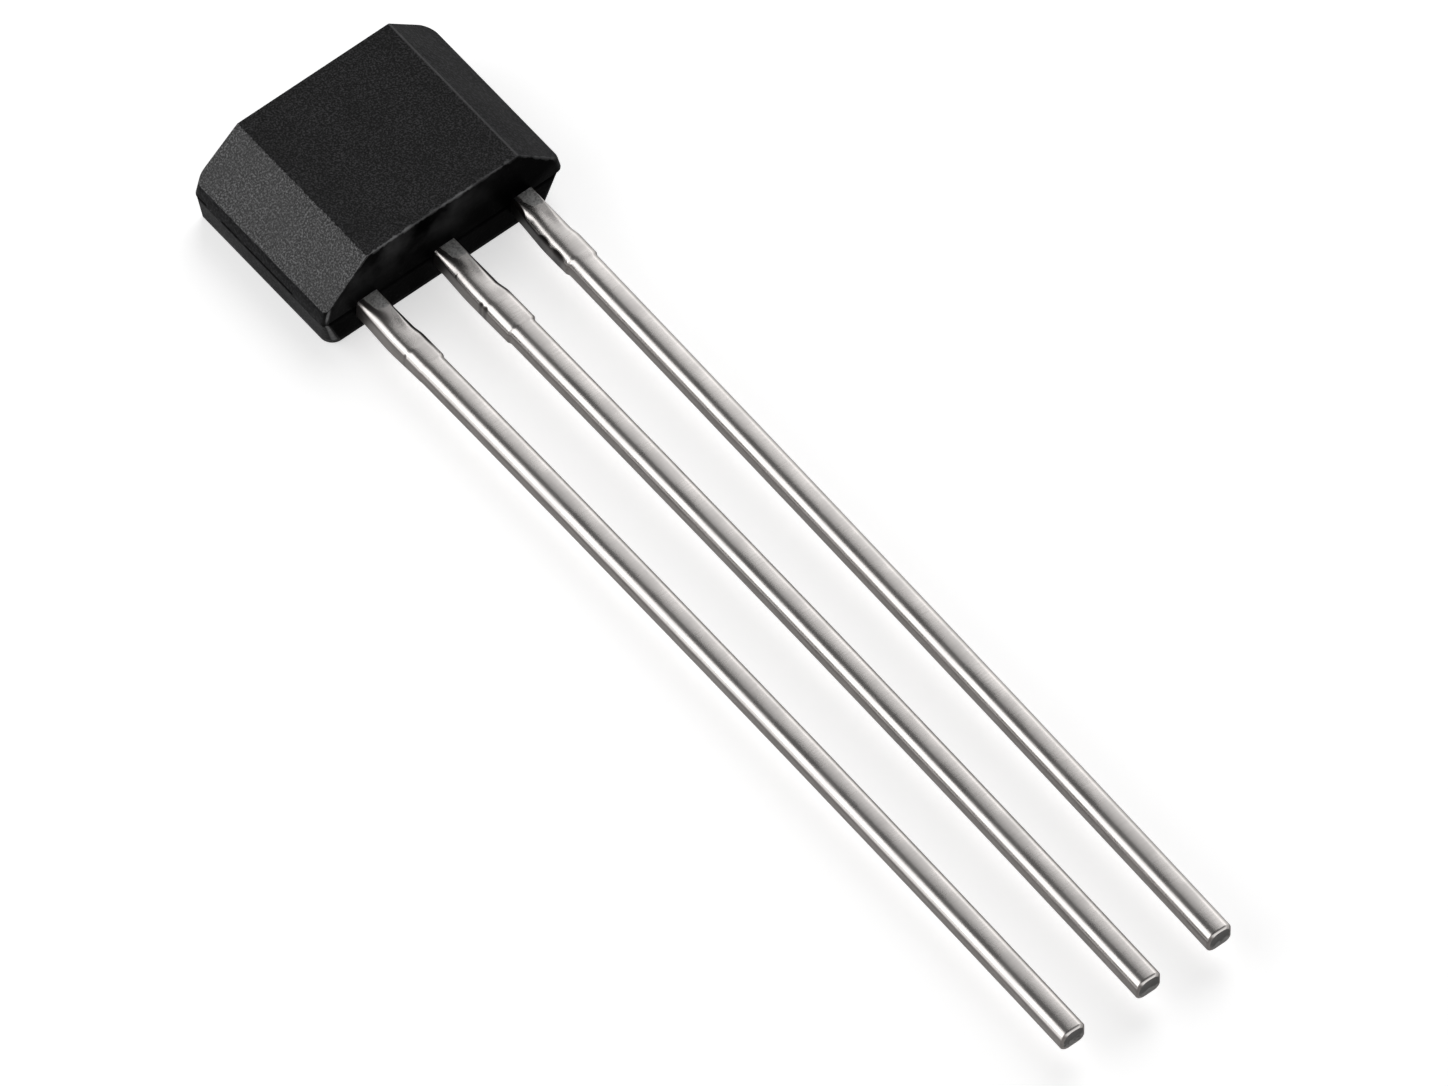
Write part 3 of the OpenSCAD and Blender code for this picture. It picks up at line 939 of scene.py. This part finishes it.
# One section of a dipped lead at distance s from the package: its points and how each is painted
def leadSection(lead, s, length):
    stock, bands = leadStock, paintBands
    grow = ease(0, stock["tinBlend"], s)
    over = max(0.0, 1 - (length - s) / stock["tipBreak"])
    cut = stock["tipBreak"] * (1 - math.sqrt(1 - over * over))
    tall = stock["thickness"] / 2 + stock["tinFace"] * grow - cut
    half = stock["width"] / 2 + stock["tinSide"] * grow - cut
    left = -half - stubHeight(lead["left"], s)
    right = half + stubHeight(lead["right"], s)
    bare = stock["edgeRadius"]
    corner = bare + (stock["cornerRadius"] - bare) * grow
    slim, slimStart, slimEnd = lead["slim"]
    full = stock["runRadius"] * (1 - slim * fade(slimStart, slimEnd, s))
    run = stock["exitRun"] + (full - stock["exitRun"]) * ease(0, stock["runBlend"], s)
    under = bare + (stock["underRadius"] - bare) * ease(stock["underStart"], stock["underBlend"], s)
    u = max(0.0, s / length)
    x = lead["side"] * stock["pitch"] + lead["lean"] * u + lead["bow"] * 4 * u * (1 - u)
    z = parting + stock["rise"] - stock["thickness"] / 2
    climb = dent = 0
    for middle, reach, lift, depth in lead["scoops"]:
        arch = max(0.0, 1 - (2 * (s - middle) / reach) ** 2)
        climb += lift * arch
        dent += depth * arch
    flank = stock["flankTurn"] - climb
    # Painted shade darkens the left flank near the package; in the scoops the same darkening marks
    # scars.
    strength, shadeAndScarStart, shadeAndScarEnd = lead["shadeAndScar"]
    dented = min(stock["shadeAndScarMost"], dent / stock["shadeAndScarDent"])
    shadeAndScar = max(strength * fade(shadeAndScarStart, shadeAndScarEnd, s), dented)
    sideLean = stock["filletLean"] * lead["fillet"] * fade(*bands["sideLeanEnd"], s)
    topLean = stock["filletLean"] * fade(*bands["topLeanEnd"], s)
    rim = lead["rim"] * ease(*bands["rimStart"], s) * fade(*bands["rimEnd"], s)
    scoopStart = (flank - bands["scoopSoft"][0], flank + bands["scoopSoft"][1])
    outScale, alongScale = stock["rippleScales"]
    points, paint = [], []
    for px, pz, turn in sectionOutline(left, right, tall, run, under, corner):
        inner = ease(*scoopStart, turn) * fade(*bands["scoopFoot"], turn)
        px += dent * inner
        pz -= dent * inner * stock["scoopSlope"]
        across = max(0.0, (px - left - run) / (right - left - run))
        if pz > 0:
            pz -= stock["crown"] * grow * across ** stock["crownPower"] * pz / tall
        place = Vector((px * outScale + x, s * alongScale, pz * outScale))
        swell = 1 + stock["ripple"] * grow * noise.noise(place) / math.hypot(px, pz)
        points.append(Vector((x + px * swell, -halfBody - s, z + pz * swell)))
        # The side value is painted shade on the flanks, the right edge, the lower right and the
        # tip's corner; along the right edge the darkening is the rim's painted shade.
        soft = bands["flankSoft"]
        side = ease(flank - soft, flank + soft, turn) * fade(*bands["flankFoot"], turn)
        shadeAndScarHere = shadeAndScar
        if turn < 90:
            shadeAndScarHere = rim
            rimSide = max(bands["rimLeast"], rim) * fade(*bands["rightRim"], turn)
            side = max(side, fade(*bands["rightSide"], turn), rimSide)
        side = max(side, ease(*bands["rightFoot"], turn))
        side = max(side, ease(*bands["tipCorner"], turn) * ease(*bands["tipCut"], over))
        top = ease(*bands["topStart"], turn) * fade(*bands["topEnd"], turn)
        matte = top * fade(*bands["matteEnd"], s / stock["matteLength"])
        matte *= ease(*bands["matteAcross"], across)
        dull = top * ease(*bands["dullAcross"], across) * fade(*bands["dullEnd"], s)
        fillet = sideLean * ease(*bands["leanStart"], turn)
        fillet *= fade(flank, flank + bands["leanSoft"], turn)
        fillet = max(fillet, topLean * top * ease(*bands["leanAcross"], across))
        paint.append((side, matte, dull, shadeAndScarHere, fillet))
    return points, paint


# Stations along a lead: close together near the package and at the tip's break, wider between
def leadStations(length):
    stock = leadStock
    step, steps = stock["nearStep"], stock["farSteps"]
    stations = [step * i - stock["insideRun"] for i in range(stock["nearStations"])]
    start = stations[-1] + step
    stations += [start + (length - stock["tipRun"] - start) * i / steps for i in range(steps + 1)]
    return stations + [length - stock["tipBreak"] * share for share in stock["tipShares"]]


# The stamped blank inside the moulding: the notched bar, then the bond post or the die paddle
def addBlank(bm, lead):
    stock = leadStock
    w = stock["width"] / 2
    top = parting + stock["rise"]
    x = lead["side"] * stock["pitch"]
    d, lock = stock["lockDepth"], stock["lockLength"]
    y0 = stock["blankInset"] - halfBody
    notch = (stock["postInset"] - lock) / 2 - halfBody
    half = [(w, y0), (w, notch), (w - d, notch), (w - d, notch + lock), (w, notch + lock)]
    if lead["side"] == 0:
        p = stock["pitch"] - w - stock["postReach"] - stock["paddleGap"]
        y1 = stock["paddleInset"] - halfBody
        middle = y1 + stock["paddleLength"] / 2
        half += [(w, y1), (p, y1), (p, middle - lock), (p - d, middle - lock),
                 (p - d, middle + lock), (p, middle + lock), (p, y1 + stock["paddleLength"])]
    else:
        p = w + stock["postReach"]
        y1 = stock["postInset"] - halfBody
        half += [(w, y1), (p, y1), (p, y1 + stock["postLength"])]
    outline = half + [(-a, b) for a, b in reversed(half)]
    levels = (top - stock["thickness"], top)
    skinRings(bm, [[Vector((x + a, b, z)) for a, b in outline] for z in levels])


def makeLead(lead):
    length = -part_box(lead["node"])[0].y / mm - halfBody
    sections = [leadSection(lead, s, length) for s in leadStations(length)]
    bm = bmesh.new()
    layers = [bm.verts.layers.float.new(name) for name in leadPaint]
    rows = skinRings(bm, [points for points, paint in sections], capEnd=False)
    for row, (points, paint) in zip(rows, sections):
        for vertex, values in zip(row, paint):
            for layer, value in zip(layers, values):
                vertex[layer] = value
    edge = rows[-1]
    middle = sum((v.co for v in edge), Vector()) / len(edge)
    dish = Vector((0, cutEndLook["dishDepth"], 0))
    dished = [bm.verts.new(v.co.lerp(middle, cutEndLook["dishInset"]) + dish) for v in edge]
    cap = [bm.faces.new(dished)]
    for i, vertex in enumerate(edge):
        j = (i + 1) % len(edge)
        cap.append(bm.faces.new((vertex, edge[j], dished[j], dished[i])))
    for face in cap:
        face.material_index = 1
    addBlank(bm, lead)
    piece = finishMesh(lead["node"].replace("lead_", "") + "Lead", bm, [tinMaterial, cutMaterial])
    weightNormals(piece)
    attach(piece, "root")
    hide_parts(lead["node"])


for lead in leads:
    makeLead(lead)
print("stage: leads made")


# What lies inside the moulding: colour, roughness, the mottling's scale, and its nodes
innerFinishes = {
    "bondGold": ((0.86, 0.62, 0.24), 0.22, 12, ("wire_supply", "wire_ground", "wire_output")),
    "dieSilicon": ((0.24, 0.27, 0.33), 0.18, 6, ("hall_die",)),
    "silverEpoxy": ((0.62, 0.61, 0.58), 0.5, 20, ("die_attach",)),
}
mottling = {"noise": (2.0, 0.55), "darkest": 0.85}


def makePlainMetal(name, color, roughness, scale):
    material, tree, shader = newMaterial(name)
    tone = noiseNode(tree, millimetres(tree), scale, *mottling["noise"])
    darker = tuple(c * mottling["darkest"] for c in color)
    tree.links.new(mixColor(tree, tone, darker, color), shader.inputs["Base Color"])
    shader.inputs["Metallic"].default_value = 1.0
    shader.inputs["Roughness"].default_value = roughness
    return material


for name, (color, roughness, scale, nodes) in innerFinishes.items():
    material = makePlainMetal(name, color, roughness, scale)
    for node in nodes:
        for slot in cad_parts[node].material_slots:
            slot.material = material
print("stage: inner parts finished")

floorLook = {"height": -0.002, "size": 400, "color": (0.88, 0.88, 0.88), "glow": 0.585}


def makeFloor():
    material, tree, shader = newMaterial("paleFloor")
    shader.inputs["Base Color"].default_value = (*floorLook["color"], 1)
    shader.inputs["Roughness"].default_value = 1.0
    shader.inputs["Specular IOR Level"].default_value = 0.0
    shader.inputs["Emission Color"].default_value = (1, 1, 1, 1)
    path = addNode(tree, "ShaderNodeLightPath").outputs
    seen = mathNode(tree, "MAXIMUM", path["Is Camera Ray"], path["Is Glossy Ray"])
    seen = mathNode(tree, "MAXIMUM", seen, path["Is Transmission Ray"])
    glow = mathNode(tree, "MULTIPLY", seen, floorLook["glow"])
    tree.links.new(glow, shader.inputs["Emission Strength"])
    bm = bmesh.new()
    bmesh.ops.create_grid(bm, x_segments=1, y_segments=1, size=floorLook["size"])
    for vertex in bm.verts:
        vertex.co.z = floorLook["height"]
    finishMesh("floor", bm, [material], smooth=False)


# How bright the studio looks from the horizon up to overhead, and how much of it lights the part
worldLook = {
    "steps": [(0.0, 1.0), (0.3, 1.0), (0.55, 0.7), (0.8, 0.14), (1.0, 0.08)],
    "fill": 0.16,
}


def makeWorld():
    world = bpy.data.worlds.new("studio")
    bpy.context.scene.world = world
    world.use_nodes = True
    tree = world.node_tree
    background = tree.nodes["Background"]
    toward = addNode(tree, "ShaderNodeTexCoord").outputs["Generated"]
    height = addNode(tree, "ShaderNodeSeparateXYZ", inputs={"Vector": toward}).outputs["Z"]
    shade = rampNode(tree, height, worldLook["steps"])
    path = addNode(tree, "ShaderNodeLightPath").outputs
    mirrored = mathNode(tree, "MAXIMUM", path["Is Glossy Ray"], path["Is Transmission Ray"])
    look = mixColor(tree, mirrored, (worldLook["fill"],) * 3, shade)
    look = mixColor(tree, path["Is Camera Ray"], look, (1, 1, 1))
    tree.links.new(look, background.inputs["Color"])
    background.inputs["Strength"].default_value = 1.0


# Each lamp stands at its distance toward a direction from the place that all of them face.
lampAim = (0, -5, 0.5)
lamps = [
    {
        "name": "keyBox",
        "toward": (0.38, 0.30, 0.87),
        "distance": 120,
        "size": (70, 70),
        "radiance": 1.89,
        "mirrored": False,
    },
    {
        "name": "leftBox",
        "toward": (-0.73, 0.43, 0.53),
        "distance": 100,
        "size": (108, 80),
        "radiance": 1.26,
        "mirrored": True,
    },
    {
        "name": "rightBox",
        "toward": (0.78, 0.42, 0.46),
        "distance": 110,
        "size": (110, 96),
        "radiance": 0.95,
        "mirrored": True,
    },
]


def makeLamp(values):
    width, height = [v * mm for v in values["size"]]
    light = bpy.data.lights.new(values["name"], "AREA")
    light.shape = "RECTANGLE"
    light.size = width
    light.size_y = height
    light.energy = values["radiance"] * math.pi * width * height
    lamp = bpy.data.objects.new(values["name"], light)
    bpy.context.scene.collection.objects.link(lamp)
    toward = Vector(values["toward"]).normalized()
    lamp.location = (Vector(lampAim) + toward * values["distance"]) * mm
    lamp.rotation_euler = toward.to_track_quat("Z", "Y").to_euler()
    lamp.visible_camera = False
    lamp.visible_glossy = values["mirrored"]


cameraView = {
    "azimuth": -38.775,
    "elevation": 55.887,
    "roll": -0.13,
    "target": (-0.035, -7.123, 0.51),
    "distance": 600,
    "pixelsPerMm": 78.24,
    "imageWidth": 1448,
    "sensorWidth": 36,
    "clip": (0.01, 5),
}


def makeCamera():
    values = cameraView
    az = math.radians(values["azimuth"])
    el = math.radians(values["elevation"])
    back = Vector((math.sin(az) * math.cos(el), -math.cos(az) * math.cos(el), math.sin(el)))
    right = Vector((math.cos(az), math.sin(az), 0))
    up = back.cross(right)
    turn = Matrix((right, up, back)).transposed()
    turn = turn @ Matrix.Rotation(math.radians(values["roll"]), 3, "Z")
    data = bpy.data.cameras.new("studioCamera")
    data.sensor_width = values["sensorWidth"]
    enlargement = values["pixelsPerMm"] * values["distance"] * values["sensorWidth"]
    data.lens = enlargement / values["imageWidth"]
    data.clip_start, data.clip_end = values["clip"]
    camera = bpy.data.objects.new("studioCamera", data)
    bpy.context.scene.collection.objects.link(camera)
    camera.location = (Vector(values["target"]) + back * values["distance"]) * mm
    camera.rotation_euler = turn.to_euler()
    bpy.context.scene.camera = camera


makeFloor()
makeWorld()
for values in lamps:
    makeLamp(values)
makeCamera()
bpy.context.scene.view_settings.view_transform = "Standard"
print("stage: floor, light and camera made")
